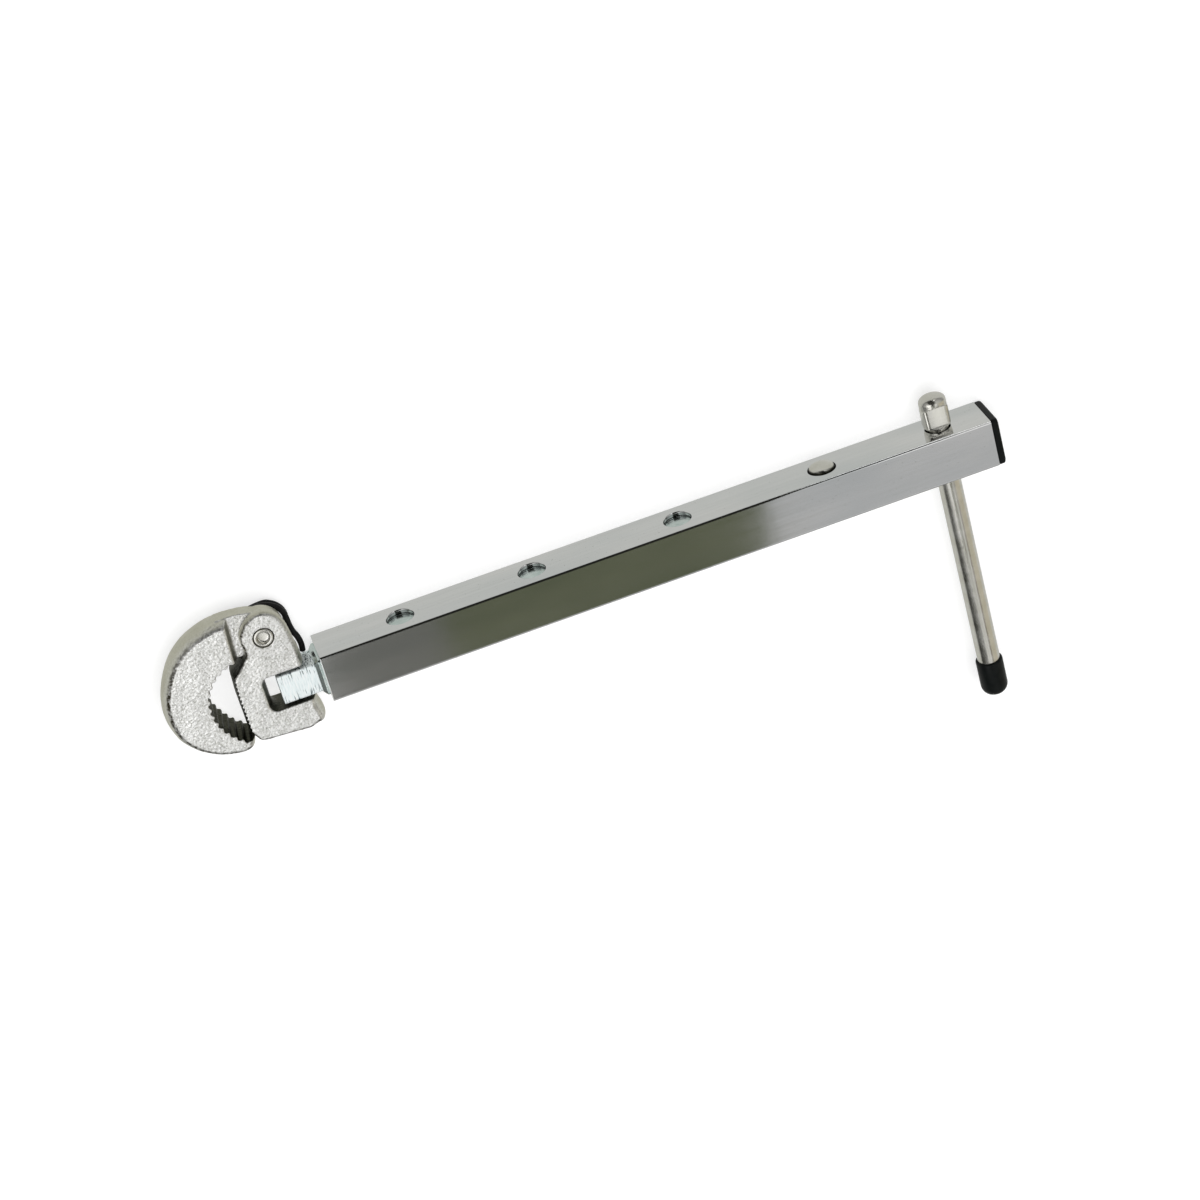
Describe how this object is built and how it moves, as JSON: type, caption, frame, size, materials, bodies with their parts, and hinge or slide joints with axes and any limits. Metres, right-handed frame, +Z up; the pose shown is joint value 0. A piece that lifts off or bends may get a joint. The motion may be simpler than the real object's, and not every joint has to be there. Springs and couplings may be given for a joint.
{
  "type": "telescopic basin wrench",
  "caption": "Telescopic basin wrench: square tube handle with sliding bar, lock button and tee bar, and a tilting head with a sprung toothed hook jaw.",
  "frame": {"origin": "centre of the square tube's underside, where the wrench lies flat on a bench", "axes": "+X along the tube from the head to the end plug, +Y out of the face with the locking holes, +Z up from the bench"},
  "size_m": [0.2707, 0.1204, 0.016],
  "materials": {
    "zinc_tube": "bright zinc plate on drawn square tube",
    "zinc_bar": "bright bluish zinc with fine milling marks",
    "cast_nickel": "nickel plate on rough castings, softly rounded edges",
    "nickel": "warm bright nickel plate",
    "pin_steel": "plain turned steel",
    "spring_steel": "black oiled spring wire",
    "black_plastic": "semi-gloss black moulded plastic"
  },
  "bodies": {
    "handle": {"outer_tube": "zinc_tube", "end_plug": "black_plastic"},
    "tee": {"tee_bar": "nickel", "tee_bar_cap": "black_plastic"},
    "bar": {"inner_tube": "zinc_bar", "shank_tongue": "zinc_bar", "shank_pin": "pin_steel", "button_spring": "spring_steel"},
    "button": {"lock_button": "nickel"},
    "head": {"heel_jaw": "cast_nickel", "jaw_rivet": "nickel", "rivet_washer": "pin_steel", "jaw_spring": "spring_steel", "tilt_pin": "pin_steel"},
    "hook": {"hook_jaw": "cast_nickel"}
  },
  "joints": [
    {"name": "bar_slide", "type": "slide", "parent": "handle", "child": "bar", "axis": [-1, 0, 0], "range_m": [0, 0.1378], "deforming": ["lock_button"]},
    {"name": "button_press", "type": "slide", "parent": "bar", "child": "button", "axis": [0, -1, 0], "range_m": [0, 0.0031], "stiffness_N_per_m": 1500, "springref_m": -0.004, "deforming": ["button_spring"]},
    {"name": "head_tilt", "type": "hinge", "parent": "bar", "child": "head", "pos_m": [-0.119, 0, 0.008], "axis": [0, 1, 0], "range_deg": [-90, 90]},
    {"name": "hook_swing", "type": "hinge", "parent": "head", "child": "hook", "pos_m": [-0.1232, 0.0195, 0.008], "axis": [0, 0, 1], "range_deg": [-45, 0], "stiffness_Nm_per_rad": 0.12, "springref_deg": 57.3, "deforming": ["jaw_spring"]},
    {"name": "tee_slide", "type": "slide", "parent": "handle", "child": "tee", "axis": [0, 1, 0], "range_m": [0, 0.07]}
  ]
}
